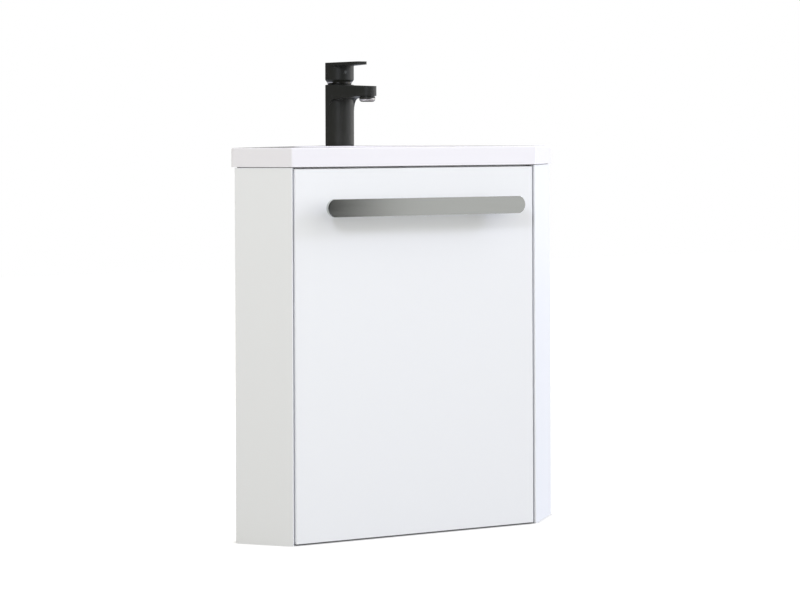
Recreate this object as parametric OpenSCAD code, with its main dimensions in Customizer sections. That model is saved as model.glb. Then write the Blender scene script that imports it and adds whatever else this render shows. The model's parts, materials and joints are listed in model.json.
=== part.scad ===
// Corner vanity unit: a wall-hung cabinet for a square room corner, one flush door across the corner,
// a ceramic basin top and a single-lever basin mixer. Millimetres, +Z up, the door faces -Y.
// The origin lies on the floor of the unit's bounding box, in its middle.

/* [Plan] */
// Width across the front, between the two front corners
front_w = 425; // [380:1:470]
// Length of each 45 degree return of the basin top
top_return = 99.5; // [85:0.5:120]
// Gap between the cabinet's sides and the room's walls
wall_gap = 5.7; // [2:0.1:8]
// Room between the waste's outlet and the side that it passes
service_gap = 14; // [8:1:20]

/* [Cabinet] */
// Height of the cabinet's panels
cabinet_h = 574.5; // [520:0.5:640]
// Thickness of the cabinet's boards
board_t = 16; // [15:0.5:19]
// Width of the flat on each return panel's front edge, beside the door
jamb_flat = 1.8; // [1:0.1:3]
// Rounding of the boards' visible edges
board_edge_r = 1; // [0.5:0.1:1.5]
// Height of the stretcher behind the door's top edge
front_rail_h = 60; // [45:1:75]
// Height of the two hanging rails
hanging_rail_h = 100; // [80:1:110]
// Distance from the cabinet's top to the hanging rails
hanging_rail_drop = 74.5; // [60:0.5:90]
// Radius of the wall screws' holes
wall_hole_r = 3; // [2.5:0.1:4]
// Distance from the room corner to the nearer wall screw
wall_hole_near = 62; // [55:1:75]
// Distance from the rail's end to the further wall screw
wall_hole_end = 30; // [20:1:40]
// Leg of the glue block in the room corner
corner_block_leg = 34; // [24:1:40]

/* [Shelf] */
// Distance from the trap's cup down to the shelf
shelf_drop = 34; // [20:1:60]
// Gap between the shelf and the boards round it
shelf_gap = 1.5; // [1:0.1:2.5]
// Distance from the door's face to the shelf's front edge
shelf_front = 46; // [36:1:60]
// Radius of a shelf pin
shelf_pin_r = 2.5; // [2:0.1:3]
// Length of a shelf pin inside the board
shelf_pin_in = 8; // [6:0.5:10]
// Length of a shelf pin under the shelf
shelf_pin_out = 9; // [7:0.5:11]
// Distance from a return panel's inner front end to its shelf pin
shelf_pin_front = 46; // [42:1:60]
// Distance from a wall panel's end at the open corner to its shelf pin
shelf_pin_back = 40; // [25:1:60]

/* [Door] */
// Gap between the door's edge and each return panel
door_gap = 3; // [2.8:0.1:3.4]
// Thickness of the door
door_t = 16; // [16:0.5:18]
// Height of the door's lower edge above the cabinet's underside
door_foot = 2.5; // [1:0.1:4]
// Gap between the door's top edge and the basin
door_top_gap = 3.2; // [2:0.1:4]
// Rounding of the door's front edges
door_edge_r = 2; // [1.5:0.1:2.5]
// Thickness of the bumpers on the door's back
bumper_t = 2.2; // [2:0.1:3]
// Radius of a bumper
bumper_r = 4.5; // [3.5:0.1:6]
// Running gap between the bumpers and the cabinet
bumper_gap = 0.3; // [0.2:0.05:0.5]

/* [Pull] */
// Length of the pull's bar
pull_l = 341.5; // [300:0.5:350]
// Height of the bar
pull_h = 27; // [22:0.5:30]
// Thickness of the bar
pull_t = 8.5; // [6:0.1:11]
// Distance from the door's face to the bar's front face
pull_out = 42.5; // [36:0.5:48]
// Distance from the door's top edge to the bar's middle line
pull_drop = 59; // [40:0.1:90]
// Radius of the bar's rounded ends
pull_end_r = 14.2; // [14:0.1:18]
// Spacing of the two posts
pull_centres = 256; // [224:1:272]
// Radius of a post
post_r = 6; // [5:0.5:7]
// Radius of the pull's screws
pull_screw_r = 2; // [1.5:0.1:2.4]

/* [Hinges] */
// Height of the lower hinge
hinge_low_z = 95; // [80:1:110]
// Distance from the door's top edge to the upper hinge
hinge_top_drop = 94; // [85:1:105]
// Distance from the door's edge to the hinge's pivot
pivot_in = 7; // [6.8:0.1:7.4]
// Distance from the door's face to the hinge's pivot
pivot_deep = 7; // [6.8:0.1:7.2]
// Radius of the hinge's cup
cup_r = 17.5; // [17:0.1:17.8]
// Depth of the cup in the door
cup_deep = 12.5; // [12:0.1:12.6]
// Distance from the door's edge to the cup's rim
cup_edge = 3; // [2.8:0.1:3.2]
// Thickness of the cup's flange on the door's back
flange_t = 1; // [0.8:0.1:1.2]
// Spacing of the cup's two screws
cup_screw_step = 48; // [45:1:52]
// Radius of the hinge pin
hinge_pin_r = 1.5; // [1.3:0.1:1.6]
// Radius of the arm's knuckle round the pin
knuckle_r = 2.8; // [2.6:0.1:2.9]
// Width of the arm
arm_w = 12; // [10:0.5:12.5]
// Thickness of the arm
arm_t = 2; // [1.6:0.1:2.2]
// Inner radius of the arm's neck round the pivot
neck_r = 12.2; // [12:0.1:12.6]
// Length of the mounting plate along the return panel
plate_l = 38; // [34:0.5:40]
// Height of the mounting plate's wings
plate_h = 50; // [44:1:56]
// Thickness of the mounting plate's wings
plate_t = 2.5; // [2:0.1:3]
// Distance from the return panel's inner end to the plate's screws
plate_set = 32; // [29:0.5:34]
// Spacing of the plate's two screws
plate_screw_step = 32; // [28:1:36]

/* [Basin] */
// Height of the basin's visible edge
edge_h = 29.5; // [22:0.5:34]
// Rounding of the basin's upright corners
basin_corner_r = 4; // [3:0.5:6]
// Rounding of the basin's top edge
basin_top_r = 2; // [1.5:0.1:3]
// How far the basin stands out over the cabinet's front and returns
basin_overhang = 1.5; // [0.5:0.1:3]
// Thickness of the foam strip that the basin lies on
seal_strip_t = 1; // [0.8:0.1:1.5]
// Distance from a board's face to the foam strip
seal_strip_in = 3; // [2:0.1:5]
// Thickness of the deck
deck_t = 11; // [10:0.5:14]
// Depth of the bowl
bowl_deep = 105; // [80:1:120]
// Thickness of the bowl's wall
bowl_wall = 8; // [7:0.5:9]
// Distance from the basin's front edge to the bowl
bowl_front = 43; // [43:1:50]
// Distance from the bowl back to the tap's axis
bowl_behind = 45.8; // [44:0.1:52]
// Distance from each end of the front edge to the bowl, measured across the front
bowl_side = 64.5; // [63:0.5:80]
// Width of the bowl's flat floor
floor_w = 150; // [110:1:170]
// Radius of the overflow's hole
overflow_r = 9; // [7:0.5:10]
// Depth of the overflow's middle below the rim
overflow_drop = 30; // [28:1:34]

/* [Waste] */
// Radius of the waste tube's thread
waste_r = 20.9; // [19:0.1:21]
// Radius of the waste's flange in the bowl
waste_flange_r = 31.5; // [29:0.5:34]
// Length of the waste tube below the bowl's floor
waste_l = 58; // [50:1:64]
// Travel of the plug
plug_travel = 8; // [6:0.5:10]
// Radius of the trap's pipes, the 32 mm size
pipe_r = 16; // [15.5:0.1:16.5]
// How much thinner the outlet pipe is inside the trap's nut
spigot_step = 0.7; // [0.6:0.1:1]
// Length of the outlet pipe that stands free for the wall's socket
spigot_l = 60; // [50:1:70]
// Wall of the trap's pipes
pipe_wall = 1.8; // [1.5:0.1:2.2]
// Radius of the bottle trap's body
trap_r = 27; // [25:0.5:30]
// Radius of the bottle trap's cup
trap_cup_r = 30; // [28:0.5:34]
// Distance from the bowl's floor down to the trap's outlet pipe
outlet_drop = 128; // [124:1:140]
// Distance from the outlet pipe down to the trap cup's underside
trap_deep = 100; // [85:1:115]

/* [Tap] */
// Distance from the room corner to the tap's axis
tap_corner = 68.4; // [62:0.1:75]
// Radius of the tap's body
tap_r = 24; // [23:0.1:24.5]
// Height of the tap's body above the deck
tap_h = 101.8; // [95:0.1:115]
// Radius of the hole in the basin's deck
tap_hole_r = 17.5; // [16.5:0.1:18]
// Thickness of the gasket under the tap
gasket_t = 2.2; // [1.2:0.1:2.5]
// Distance from the tap's axis to the spout's outlet
spout_reach = 107.4; // [95:0.1:125]
// Radius of the spout's rounded end
spout_r = 15; // [14:0.1:17]
// Thickness of the spout at its end
spout_t = 15.4; // [12:0.1:16]
// Fall of the spout's top towards its end
spout_fall = 4; // [0:0.1:6]
// Height of the spout's root on the body, without its fillet
spout_root_t = 23.5; // [21:0.5:26]
// Radius of the fillet under the spout
spout_fillet_r = 20; // [12:0.5:24]
// Distance from the tap's axis to the foot of that fillet
spout_fillet_in = 7; // [5:0.5:9]
// Radius of the aerator
aerator_r = 13; // [11:0.1:13.4]
// Length of the aerator below the spout
aerator_out = 10; // [8:0.1:13]

/* [Lever] */
// Height of the cap's lower edge above the body
cap_rise = 8.6; // [8:0.1:9.5]
// Height from the body's top to the lever's flat top
lever_rise = 37.2; // [35:0.1:42]
// Thickness of the lever's blade
blade_t = 5; // [4:0.1:6]
// Distance from the tap's axis to the blade's tip
blade_reach = 88.5; // [70:0.5:100]
// Width of the blade's tip
blade_tip_w = 18; // [16:0.5:26]
// Wall of the cap
cap_wall = 2.2; // [1.8:0.1:2.6]
// Height of the lever's pivot above the body
lever_pivot_rise = 13.2; // [13:0.1:13.6]
// Furthest lift of the lever, in degrees
lever_lift = 18; // [12:1:18]

/* [Hidden] */
$fn = 64;

// Clearances between pieces
running = 0.06;     // a pin that turns in its bore
seat = 0.01;        // a piece pressed or glued into its seat
loose = 0.4;        // a piece that moves past another
eps = 0.5;          // how far a cut runs past what it cuts
touch = 0.01;       // how far two solids of one piece run into each other
root2 = sqrt(2);

// The plan: X across the door, Y from the door's face towards the room corner
corner_depth = (front_w / 2 + top_return * root2);
front_y = -(corner_depth - pull_out) / 2;
corner_y = front_y + corner_depth;
door_half = front_w / 2 - jamb_flat - door_gap;
jamb_x = front_w / 2 - jamb_flat;
carcass_in = door_t + bumper_t + bumper_gap;
carcass_y = front_y + carcass_in;
return_u = (front_w / 2 + corner_depth) / root2;
inner_w = wall_gap + board_t;
tap_axis_y = corner_y - tap_corner;
bowl_l = tap_axis_y - bowl_behind - front_y - bowl_front;
bowl_w = front_w - 2 * bowl_side;
bowl_y = front_y + bowl_front + bowl_l / 2;
outlet_l = (corner_y - bowl_y) / root2;
service_len = outlet_l + pipe_r + service_gap;

// Heights
basin_z = cabinet_h + seal_strip_t;
top_z = basin_z + edge_h;
door_top = basin_z - door_top_gap;
hinge_heights = [hinge_low_z, door_top - hinge_top_drop];
hanging_rail_z = cabinet_h - hanging_rail_drop - hanging_rail_h;
pull_z = door_top - pull_drop;
floor_z = top_z - bowl_deep;
tap_boss_t = 6;     // how far the ring round the tap's hole stands out under the deck
under_deck_z = top_z - deck_t - tap_boss_t;
outlet_z = floor_z - outlet_drop;
trap_low_z = outlet_z - trap_deep;
shelf_z = trap_low_z - shelf_drop - board_t;

// Corners of the unit's plan, drawn in from the front, from the returns and from the walls
function plan(front_in, return_in, wall_in) =
    let (fx = front_w / 2 - return_in * root2 + front_in,
         tx = (front_w / 2 - return_in * root2 + corner_depth - wall_in * root2) / 2,
         ty = (corner_depth - wall_in * root2 - front_w / 2 + return_in * root2) / 2)
    [[-fx, front_y + front_in], [fx, front_y + front_in], [tx, front_y + ty],
     [0, corner_y - wall_in * root2], [-tx, front_y + ty]];

// A convex outline, counter-clockwise, with each corner rounded by an arc of radius r
function unit(v) = v / norm(v);
function corner_arc(a, b, c, r, steps) =
    let (u = unit(a - b), w = unit(c - b),
         half = acos(u * w) / 2,
         centre = b + unit(u + w) * r / sin(half),
         first = atan2(u[0], -u[1]),
         turn = 180 - 2 * half)
    [for (i = [0:steps])
        let (t = first + turn * i / steps)
        centre + r * [cos(t), sin(t)]];
function rounded(points, r, steps = 5) =
    let (n = len(points))
    [for (i = [0:n - 1])
        each corner_arc(points[(i + n - 1) % n], points[i], points[(i + 1) % n], r, steps)];

// Frames: a wall, with x along it from the room corner and y into the room; side is 1 or -1
module on_wall(side) {
    translate([0, corner_y, 0])
        if (side > 0) rotate(-45) mirror([0, 1, 0]) children();
        else rotate(-135) children();
}

// The right-hand return panel's inner face, x along it from the door and y into the cabinet
face_start = [jamb_x, front_y + jamb_x - front_w / 2 + board_t * root2];
module on_return_face() {
    translate([face_start[0], face_start[1], 0]) rotate(45) children();
}

// A bar along Y, from y0 to y1
module bar_y(r, y0, y1) {
    translate([0, y0, 0]) rotate([-90, 0, 0]) cylinder(r = r, h = y1 - y0);
}

// A tube on the Z axis
module tube(r_out, r_in, z0, z1) {
    translate([0, 0, z0]) difference() {
        cylinder(r = r_out, h = z1 - z0);
        translate([0, 0, -eps]) cylinder(r = r_in, h = z1 - z0 + 2 * eps);
    }
}

// Grip ribs round a cap or nut
rib_r = 1.6;
module ribs(r, z0, z1, count) {
    for (i = [0:count - 1])
        rotate(i * 360 / count) translate([r, 0, z0]) cylinder(r = rib_r, h = z1 - z0, $fn = 24);
}

// A hand nut: a collar with grip ribs round it
nut_ribs = 12;
module ribbed_nut(r_out, r_in, z0, z1) {
    difference() {
        union() {
            translate([0, 0, z0]) cylinder(r = r_out, h = z1 - z0);
            ribs(r_out, z0, z1, nut_ribs);
        }
        translate([0, 0, z0 - eps]) cylinder(r = r_in, h = z1 - z0 + 2 * eps);
    }
}

/* ---- Cabinet ---- */

// A board with a plan outline in the frame of the unit
module board(outline, z0, z1) {
    translate([0, 0, z0]) linear_extrude(z1 - z0) polygon(outline);
}

// The return beside the door: its front end is cut parallel to the door's edge
module return_panel(side) {
    far = [front_w / 2 + (top_return - wall_gap) / root2, front_y + (top_return - wall_gap) / root2];
    outline = [[jamb_x, front_y], [front_w / 2, front_y], far,
               far + [-board_t, board_t] / root2, face_start];
    mirror([side > 0 ? 0 : 1, 0, 0])
        difference() {
            board(rounded(outline, board_edge_r, 3), 0, cabinet_h);
            shelf_pin_holes(-1);
            if (side > 0) plate_screw_holes();
        }
}

// The side along a wall, between its return panel and the open corner
module wall_panel(side) {
    difference() {
        on_wall(side)
            translate([service_len, wall_gap, 0])
                cube([return_u - board_t - service_len, board_t, cabinet_h]);
        mirror([side > 0 ? 0 : 1, 0, 0]) shelf_pin_holes(1);
    }
}

// The board outline between the sides, cut off straight across the open corner
module inside_plan(front, gap) {
    cut_y = corner_y - service_len / root2 - inner_w / root2;
    intersection() {
        polygon(plan(front - front_y, board_t + gap, inner_w + gap));
        translate([-front_w, front]) square([2 * front_w, cut_y - front - gap]);
    }
}

module bottom_panel() {
    color("white") linear_extrude(board_t) inside_plan(carcass_y, 0);
}

module front_top_rail() {
    half_front = plan(carcass_y - front_y, board_t, 0)[1][0];
    half_back = half_front + board_t;
    color("white")
        board([[-half_front, carcass_y], [half_front, carcass_y],
               [half_back, carcass_y + board_t], [-half_back, carcass_y + board_t]],
              cabinet_h - front_rail_h, cabinet_h);
}

// A rail across the open corner, on the wall, mitred to its twin
module hanging_rail(side) {
    on_wall(side)
        difference() {
            translate([0, 0, hanging_rail_z]) linear_extrude(hanging_rail_h)
                polygon([[0, 0], [service_len, 0], [service_len, inner_w], [inner_w, inner_w]]);
            for (i = [0, 1])
                translate([wall_hole_near + i * (service_len - wall_hole_end - wall_hole_near), 0,
                           hanging_rail_z + hanging_rail_h / 2])
                    bar_y(wall_hole_r, -eps, inner_w + eps);
        }
}

// The glue block in the room corner behind the two rails
module corner_block() {
    tip = corner_y - inner_w * root2;
    reach = corner_block_leg / root2;
    color("burlywood")
        board([[-reach, tip - reach], [reach, tip - reach], [0, tip]],
              hanging_rail_z, hanging_rail_z + hanging_rail_h);
}

module shelf() {
    color("white") translate([0, 0, shelf_z]) linear_extrude(board_t)
        inside_plan(front_y + shelf_front, shelf_gap);
}

// Places of the shelf pins on the right: in the wall panel (which = 1) or the return panel (-1)
module at_shelf_pin(which) {
    if (which > 0)
        on_wall(1) translate([service_len + shelf_pin_back, inner_w, shelf_z - shelf_pin_r]) children();
    else
        on_return_face() translate([shelf_pin_front, 0, shelf_z - shelf_pin_r]) children();
}

module shelf_pin_holes(which) {
    at_shelf_pin(which) bar_y(shelf_pin_r + seat, -shelf_pin_in - seat, eps);
}

module shelf_pins() {
    color("silver")
        for (flip = [0, 1], which = [-1, 1])
            mirror([flip, 0, 0])
                at_shelf_pin(which) bar_y(shelf_pin_r, -shelf_pin_in, shelf_pin_out);
}

/* ---- Basin ---- */

// One ring of the bowl: an egg that narrows towards the room corner; square above 2 fills its corners
ring_steps = 48;
function bowl_ring(half_w, half_l, square, narrow, y, z) =
    [for (i = [0:ring_steps - 1])
        let (t = 360 * i / ring_steps, c = cos(t), s = sin(t),
             px = sign(c) * pow(abs(c), 2 / square), py = sign(s) * pow(abs(s), 2 / square))
        [half_w * px * (1 - narrow * py), y + half_l * py, z]];

// The bowl's shape, each value at its floor and at its rim
floor_l_share = 0.62;   // length of the floor as a share of the rim's
side_power = 0.8;       // below 1 the sides stand steeper
square_at = [2, 2.6];
narrow_at = [0.05, 0.25];
function between(pair, share) = pair[0] + (pair[1] - pair[0]) * share;

// Rings from the floor up to the rim; grow widens each one by the wall
bowl_levels = 9;
function bowl_rings(grow, z_floor, z_rim) =
    [for (k = [0:bowl_levels])
        let (turn = 90 * k / bowl_levels, side = pow(sin(turn), side_power))
        bowl_ring(between([floor_w, bowl_w], side) / 2 + grow,
                  bowl_l / 2 * between([floor_l_share, 1], side) + grow,
                  between(square_at, side), between(narrow_at, side), bowl_y,
                  between([z_floor, z_rim], 1 - cos(turn)))];

// A closed solid through a stack of rings
module loft(rings) {
    n = len(rings[0]);
    m = len(rings);
    points = [for (ring = rings) each ring];
    sides = [for (k = [0:m - 2], i = [0:n - 1])
        each [[k * n + i, (k + 1) * n + i, (k + 1) * n + (i + 1) % n],
              [k * n + i, (k + 1) * n + (i + 1) % n, k * n + (i + 1) % n]]];
    low = [[for (i = [0:n - 1]) i]];
    high = [[for (i = [n - 1:-1:0]) (m - 1) * n + i]];
    polyhedron(points, concat(low, sides, high), convexity = 6);
}

waste_y = bowl_y;
waste_hole_r = waste_r + 1.5;
tap_boss_w = 12;           // width of the ring round the tap's hole under the deck
overflow_z = top_z - overflow_drop;
overflow_seat_y = bowl_y + bowl_l / 2 - 6;
overflow_back_y = overflow_seat_y + 14;
overflow_boss_w = 4;       // wall round the overflow behind the bowl
overflow_ring_r = overflow_r + 4;
overflow_ring_t = 2.5;
overflow_ring_gap = 0.2;   // round the ring in its recess
overflow_sleeve_l = 8;
overflow_sleeve_t = 1.5;
basin_top_steps = 4;

// A layer of the basin; inset draws its visible edges in from the basin's outline
module basin_layer(inset, z0, z1) {
    edge_in = inset - basin_overhang;
    board(rounded(plan(edge_in, edge_in, max(inset, 0)), basin_corner_r), z0, z1);
}

// A layer over the hollow inside the cabinet's boards, drawn in by more
module basin_hollow(more, z0, z1) {
    board(rounded(plan(carcass_in + board_t + more, board_t + more, inner_w + more), basin_corner_r), z0, z1);
}

module basin() {
    color("white")
        difference() {
            union() {
                difference() {
                    union() {
                        basin_layer(0, basin_z, top_z - basin_top_r);
                        for (i = [1:basin_top_steps])
                            let (t = 90 * i / basin_top_steps)
                            basin_layer(basin_top_r * (1 - cos(t)), top_z - basin_top_r - eps,
                                        top_z - basin_top_r + basin_top_r * sin(t));
                    }
                    basin_hollow(0, basin_z - eps, top_z - deck_t);
                }
                loft(bowl_rings(bowl_wall, floor_z - bowl_wall, top_z - deck_t / 2));
                translate([0, tap_axis_y, under_deck_z]) cylinder(r = tap_hole_r + tap_boss_w, h = deck_t);
                translate([0, 0, overflow_z])
                    bar_y(overflow_ring_r + overflow_boss_w, overflow_seat_y, overflow_back_y);
            }
            loft(bowl_rings(0, floor_z, top_z + touch));
            translate([0, waste_y, floor_z - bowl_wall - eps])
                cylinder(r = waste_hole_r, h = bowl_wall + 2 * eps);
            translate([0, tap_axis_y, under_deck_z - eps])
                cylinder(r = tap_hole_r, h = top_z - under_deck_z + 2 * eps);
            translate([0, 0, overflow_z]) {
                bar_y(overflow_r, bowl_y, overflow_back_y + eps);
                bar_y(overflow_ring_r + overflow_ring_gap, bowl_y, overflow_seat_y);
            }
        }
}

// The dark foam strip between the basin and the boards' top edges
module basin_seal() {
    color("black")
        difference() {
            board(plan(carcass_in + seal_strip_in, seal_strip_in, wall_gap + seal_strip_in),
                  cabinet_h, basin_z);
            basin_hollow(-seal_strip_in, cabinet_h - eps, basin_z + eps);
        }
}

module overflow_ring() {
    color("silver") translate([0, 0, overflow_z])
        difference() {
            union() {
                bar_y(overflow_ring_r, overflow_seat_y - overflow_ring_t, overflow_seat_y);
                bar_y(overflow_r - seat, overflow_seat_y - overflow_ring_t,
                      overflow_seat_y + overflow_sleeve_l);
            }
            bar_y(overflow_r - overflow_sleeve_t, overflow_seat_y - overflow_ring_t - eps,
                  overflow_seat_y + overflow_sleeve_l + eps);
        }
}

/* ---- Waste and trap ---- */

seal_t = 2;                // foam under the flange in the bowl
flange_h = 3;
flange_slope = 1.5;        // how much the flange narrows towards its top
waste_wall = 2.4;
waste_end_z = floor_z - waste_l;
guide_z = floor_z - 22;    // the cross that guides the plug's stem
guide_h = 16;
guide_t = 3;
guide_wall = 2.5;
slot_w = 9;                // side openings that take the overflow's water
slot_z = floor_z - bowl_wall - 14;
slot_h = 10;
stem_r = 5;
stem_l = 24;
plug_r = waste_flange_r - flange_slope;
plug_gap = 0.3;            // between the closed plug and the flange
plug_z = floor_z + seal_t + flange_h + plug_gap;
plug_rim_h = 2.5;
plug_dome_h = 1.6;
plug_dome_in = 6;

module on_waste() {
    translate([0, waste_y, 0]) children();
}

// The threaded tube with its flange in the bowl and the cross that guides the plug
module waste_flange() {
    color("silver") on_waste()
        difference() {
            union() {
                translate([0, 0, waste_end_z])
                    cylinder(r = waste_r, h = floor_z + seal_t + eps - waste_end_z);
                translate([0, 0, floor_z + seal_t])
                    cylinder(r1 = waste_flange_r, r2 = waste_flange_r - flange_slope, h = flange_h);
            }
            difference() {
                translate([0, 0, waste_end_z - eps])
                    cylinder(r = waste_r - waste_wall, h = waste_l + seal_t + flange_h + 2 * eps);
                for (a = [0, 90])
                    rotate(a) translate([-waste_r, -guide_t / 2, guide_z])
                        cube([2 * waste_r, guide_t, guide_h]);
                translate([0, 0, guide_z]) cylinder(r = stem_r + guide_wall, h = guide_h);
            }
            translate([0, 0, guide_z - eps]) cylinder(r = stem_r + running, h = guide_h + 2 * eps);
            for (side = [-1, 1])
                translate([side * waste_r - slot_h / 2, -slot_w / 2, slot_z]) cube([slot_h, slot_w, slot_h]);
        }
}

// Foam under the flange, rubber under the bowl, and the ring and nut that press the rubber up
bowl_low_z = floor_z - bowl_wall;
rubber_w = 8;
rubber_t = 3;
press_ring_h = 15;
locknut_h = 10;
locknut_w = 6;
locknut_z = bowl_low_z - rubber_t - press_ring_h;
module waste_seals() {
    color("dimgray") on_waste() {
        tube(waste_flange_r - flange_slope, waste_r + seat, floor_z, floor_z + seal_t);
        tube(waste_r + rubber_w, waste_r + seat, bowl_low_z - rubber_t, bowl_low_z);
    }
}

module waste_locknut() {
    color("dimgray") on_waste() {
        ribbed_nut(waste_r + locknut_w, waste_r + seat, locknut_z - locknut_h, locknut_z);
        tube(waste_r + rubber_w, waste_r + seat, locknut_z, bowl_low_z - rubber_t);
    }
}

// The plug: a domed cap on a guided stem
module waste_plug() {
    color("silver") on_waste() {
        translate([0, 0, plug_z]) {
            cylinder(r = plug_r, h = plug_rim_h);
            translate([0, 0, plug_rim_h]) cylinder(r1 = plug_r, r2 = plug_r - plug_dome_in, h = plug_dome_h);
        }
        translate([0, 0, floor_z - stem_l]) cylinder(r = stem_r, h = plug_z + eps - floor_z + stem_l);
    }
}

// The pipe from the waste down into the trap, with the collar that the nut holds
tail_collar_t = 3;
tail_dip = 16;             // how far the tail pipe's end stays above the trap cup's underside
nut_grip = 14;             // length of the tail nut on the waste tube
nut_lip = 4;
nut_wall = 5;
pipe_gap = 0.3;            // round a pipe in its nut
module tail_pipe() {
    color("white") on_waste() {
        tube(pipe_r, pipe_r - pipe_wall, trap_low_z + tail_dip, waste_end_z);
        tube(waste_r - 1, pipe_r - 1, waste_end_z - tail_collar_t, waste_end_z);
    }
}

module tail_nut() {
    color("white") on_waste() {
        ribbed_nut(waste_r + nut_wall, waste_r + seat, waste_end_z - tail_collar_t, waste_end_z + nut_grip);
        tube(waste_r + nut_wall, pipe_r + pipe_gap, waste_end_z - tail_collar_t - nut_lip,
             waste_end_z - tail_collar_t);
    }
}

trap_top_z = outlet_z + 30;
trap_joint_z = outlet_z - 36;
trap_wall = 2.5;
trap_shoulder_h = 6;
union_r = pipe_r + 4.5;
neck_h = 12;
neck_bore_r = pipe_r + 0.4;
union_wall = 4;            // wall of the two union nuts
union_lip = 5;
outlet_start = trap_r + 16;
outlet_socket = 10;        // how deep the outlet pipe sits in the trap's neck
outlet_in_r = pipe_r - spigot_step;

// Along the trap's outlet, which leaves square to the right-hand wall
module on_outlet() {
    translate([0, waste_y, outlet_z]) rotate(45) rotate([0, 90, 0]) children();
}

module trap_body() {
    wall_h = trap_top_z - trap_joint_z - trap_shoulder_h;
    color("white")
        difference() {
            union() {
                on_waste() {
                    translate([0, 0, trap_joint_z]) cylinder(r = trap_r, h = wall_h);
                    translate([0, 0, trap_top_z - trap_shoulder_h])
                        cylinder(r1 = trap_r, r2 = union_r, h = trap_shoulder_h);
                    translate([0, 0, trap_top_z]) cylinder(r = union_r, h = neck_h);
                }
                on_outlet() cylinder(r = union_r, h = outlet_start);
            }
            on_waste() {
                translate([0, 0, trap_joint_z - eps]) cylinder(r = trap_r - trap_wall, h = wall_h);
                translate([0, 0, trap_joint_z])
                    cylinder(r = neck_bore_r, h = trap_top_z + neck_h + eps - trap_joint_z);
            }
            on_outlet() {
                translate([0, 0, trap_r - 8]) cylinder(r = pipe_r - pipe_wall, h = outlet_start);
                translate([0, 0, outlet_start - outlet_socket])
                    cylinder(r = outlet_in_r + pipe_gap, h = outlet_socket + eps);
            }
        }
}

module trap_inlet_nut() {
    color("white") on_waste() {
        ribbed_nut(union_r + union_wall, union_r + seat, trap_top_z + 1, trap_top_z + neck_h);
        tube(union_r + union_wall, pipe_r + pipe_gap, trap_top_z + neck_h, trap_top_z + neck_h + union_lip);
    }
}

// The cup that unscrews for cleaning
cup_foot_h = 8;
cup_foot_in = 6;
cup_lap = 14;              // how far the cup reaches up over the body
cup_ribs = 16;
cup_rib_h = 18;
module trap_cup() {
    color("white") on_waste()
        difference() {
            union() {
                translate([0, 0, trap_low_z + cup_foot_h])
                    cylinder(r = trap_cup_r, h = trap_joint_z + cup_lap - trap_low_z - cup_foot_h);
                translate([0, 0, trap_low_z])
                    cylinder(r1 = trap_cup_r - cup_foot_in, r2 = trap_cup_r, h = cup_foot_h);
                ribs(trap_cup_r, trap_joint_z + cup_lap - cup_rib_h, trap_joint_z + cup_lap, cup_ribs);
            }
            translate([0, 0, trap_joint_z]) cylinder(r = trap_r + seat, h = cup_lap + eps);
            translate([0, 0, trap_low_z + trap_wall])
                cylinder(r = trap_r - trap_wall, h = trap_joint_z - trap_low_z);
        }
}

module trap_outlet_nut() {
    color("white") on_outlet() {
        ribbed_nut(union_r + union_wall, union_r + seat, outlet_start - neck_h, outlet_start);
        tube(union_r + union_wall, outlet_in_r + pipe_gap, outlet_start, outlet_start + union_lip);
    }
}

// The pipe's inner end is turned down a little, so that it slides into the nut
module outlet_pipe() {
    color("white") on_outlet() {
        tube(outlet_in_r, pipe_r - pipe_wall, outlet_start - outlet_socket + 1, outlet_l - spigot_l + eps);
        tube(pipe_r, pipe_r - pipe_wall, outlet_l - spigot_l, outlet_l);
    }
}

/* ---- Tap ---- */

tap_foot_z = top_z + gasket_t;
tap_top_z = top_z + tap_h;
lip_r = tap_r - 2.4;
lip_h = 0.6;
bore_top_r = lip_r - 0.6;
cartridge_r = 17.5;
cartridge_neck_r = 11;
cartridge_z = tap_top_z - 47;
nut_top_z = tap_top_z - 6;
nut_h = 5;
waterway_z = tap_top_z - 11.5;
waterway_r = 4;
gasket_in = 0.2;           // how far the gasket stays inside the foot
tail_hole_x = 8.5;         // holes in the foot for the two supply tails
tail_hole_y = 3;
tail_hole_r = 4.5;
tail_hole_h = 14;
stud_r = 4;
stud_y = -9;
stud_in = 13;              // how far the stud screws into the foot

module on_tap() {
    translate([0, tap_axis_y, 0]) children();
}

// The spout's plan: a round end and straight sides that touch it and the round body
module spout_plan() {
    lean = asin((tap_r - spout_r) / spout_reach);
    side = [cos(lean), -sin(lean)];
    root = tap_r * side;
    nose = [0, -spout_reach] + spout_r * side;
    translate([0, -spout_reach]) circle(r = spout_r);
    polygon([root, nose, [-nose[0], nose[1]], [-root[0], root[1]]]);
}

// The spout's side view: y runs out from the tap's axis, z down from the body's top
fillet_steps = 8;
spout_tip = spout_reach + spout_r + 1;
spout_slope = (spout_root_t - spout_t - spout_fall) / (spout_tip - spout_fillet_in);
function spout_profile() =
    let (under = -spout_root_t + spout_slope * spout_fillet_r)
    concat([[0, 0], [spout_tip, -spout_fall], [spout_tip, -spout_fall - spout_t]],
           [for (i = [0:fillet_steps])
               let (t = 90 * i / fillet_steps)
               [spout_fillet_in + spout_fillet_r * (1 - sin(t)), under - spout_fillet_r * (1 - cos(t))]],
           [[0, under - spout_fillet_r]]);

module spout() {
    intersection() {
        translate([0, 0, tap_foot_z]) linear_extrude(tap_top_z - tap_foot_z) spout_plan();
        translate([0, 0, tap_top_z]) rotate([90, 0, -90])
            linear_extrude(2 * tap_r, center = true) polygon(spout_profile());
    }
}

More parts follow.
